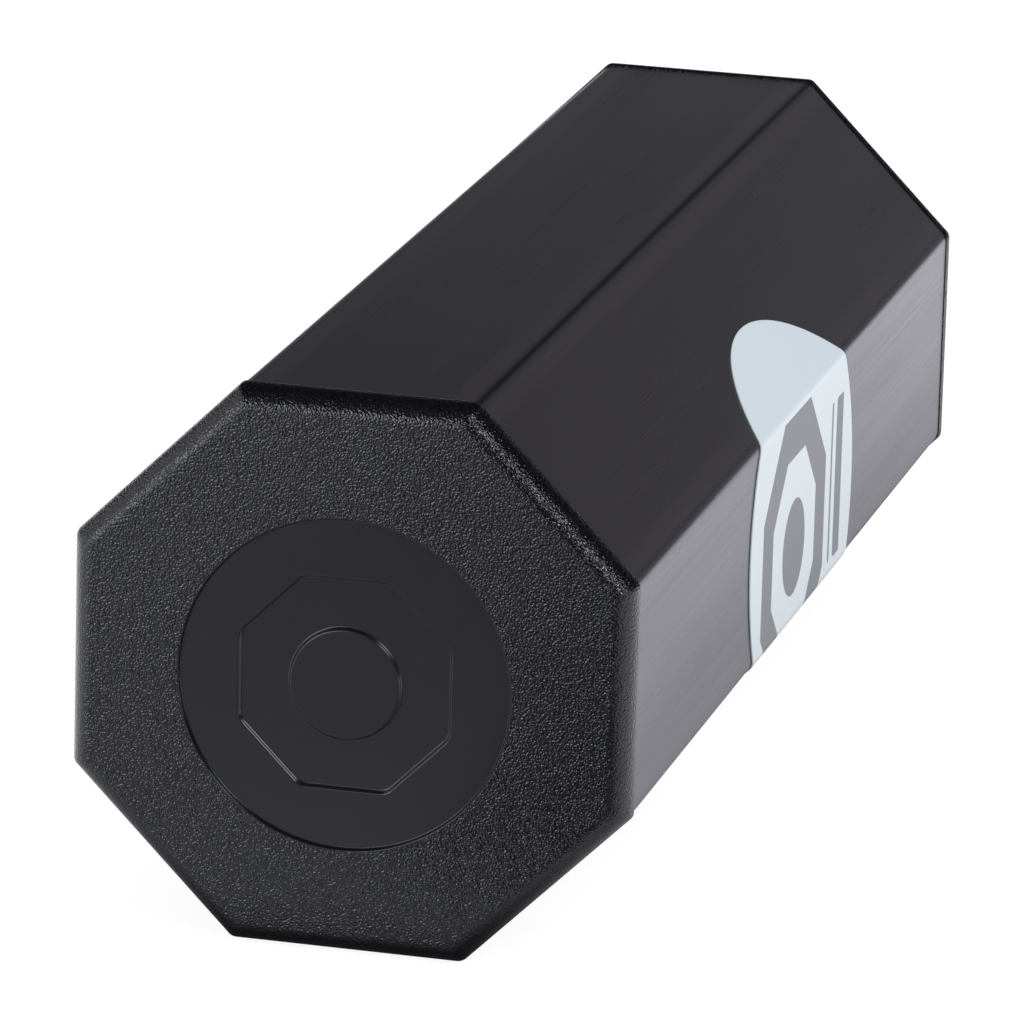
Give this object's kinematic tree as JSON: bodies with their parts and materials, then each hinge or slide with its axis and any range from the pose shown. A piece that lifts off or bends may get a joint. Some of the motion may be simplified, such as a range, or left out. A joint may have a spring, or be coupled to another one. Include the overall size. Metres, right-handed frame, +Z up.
{
  "type": "percussion shaker",
  "caption": "Octagonal aluminium tube shaker with moulded end caps, an oval label wrapped over three flats and loose steel shot that runs to and fro inside.",
  "frame": {"origin": "middle of the footprint, on the surface that the shaker lies on", "axes": "+Y along the tube from the front cap to the rear cap, +Z up, +X towards the flat that the label is centred on"},
  "size_m": [0.05, 0.134, 0.05],
  "materials": {
    "anodised_aluminium": "brushed along the tube and anodised black",
    "moulded_abs": "spark-eroded grain, smooth in the round recess",
    "vinyl_label": "satin vinyl with grey print",
    "steel_shot": "polished"
  },
  "bodies": {
    "shell": {"body_tube": "anodised_aluminium", "front_cap": "moulded_abs", "rear_cap": "moulded_abs", "label": "vinyl_label"},
    "shot_lane_1": {"shot_1_01": "steel_shot", "shot_1_02": "steel_shot", "shot_1_03": "steel_shot", "shot_1_04": "steel_shot", "shot_1_05": "steel_shot", "shot_1_06": "steel_shot", "shot_1_07": "steel_shot", "shot_1_08": "steel_shot", "shot_1_09": "steel_shot", "shot_1_10": "steel_shot", "shot_1_11": "steel_shot", "shot_1_12": "steel_shot", "shot_1_13": "steel_shot"},
    "shot_lane_2": {"shot_2_01": "steel_shot", "shot_2_02": "steel_shot", "shot_2_03": "steel_shot", "shot_2_04": "steel_shot", "shot_2_05": "steel_shot", "shot_2_06": "steel_shot", "shot_2_07": "steel_shot", "shot_2_08": "steel_shot", "shot_2_09": "steel_shot", "shot_2_10": "steel_shot", "shot_2_11": "steel_shot", "shot_2_12": "steel_shot", "shot_2_13": "steel_shot"},
    "shot_lane_3": {"shot_3_01": "steel_shot", "shot_3_02": "steel_shot", "shot_3_03": "steel_shot", "shot_3_04": "steel_shot", "shot_3_05": "steel_shot", "shot_3_06": "steel_shot", "shot_3_07": "steel_shot", "shot_3_08": "steel_shot", "shot_3_09": "steel_shot", "shot_3_10": "steel_shot", "shot_3_11": "steel_shot", "shot_3_12": "steel_shot", "shot_3_13": "steel_shot"},
    "shot_lane_4": {"shot_4_01": "steel_shot", "shot_4_02": "steel_shot", "shot_4_03": "steel_shot", "shot_4_04": "steel_shot", "shot_4_05": "steel_shot", "shot_4_06": "steel_shot", "shot_4_07": "steel_shot", "shot_4_08": "steel_shot", "shot_4_09": "steel_shot", "shot_4_10": "steel_shot", "shot_4_11": "steel_shot", "shot_4_12": "steel_shot", "shot_4_13": "steel_shot"}
  },
  "joints": [
    {"name": "shot_lane_1_run", "type": "slide", "parent": "shell", "child": "shot_lane_1", "axis": [0, 1, 0], "range_m": [-0.0243, 0.0243]},
    {"name": "shot_lane_2_run", "type": "slide", "parent": "shell", "child": "shot_lane_2", "axis": [0, 1, 0], "range_m": [-0.0243, 0.0243]},
    {"name": "shot_lane_3_run", "type": "slide", "parent": "shell", "child": "shot_lane_3", "axis": [0, 1, 0], "range_m": [-0.0243, 0.0243]},
    {"name": "shot_lane_4_run", "type": "slide", "parent": "shell", "child": "shot_lane_4", "axis": [0, 1, 0], "range_m": [-0.0243, 0.0243]}
  ]
}
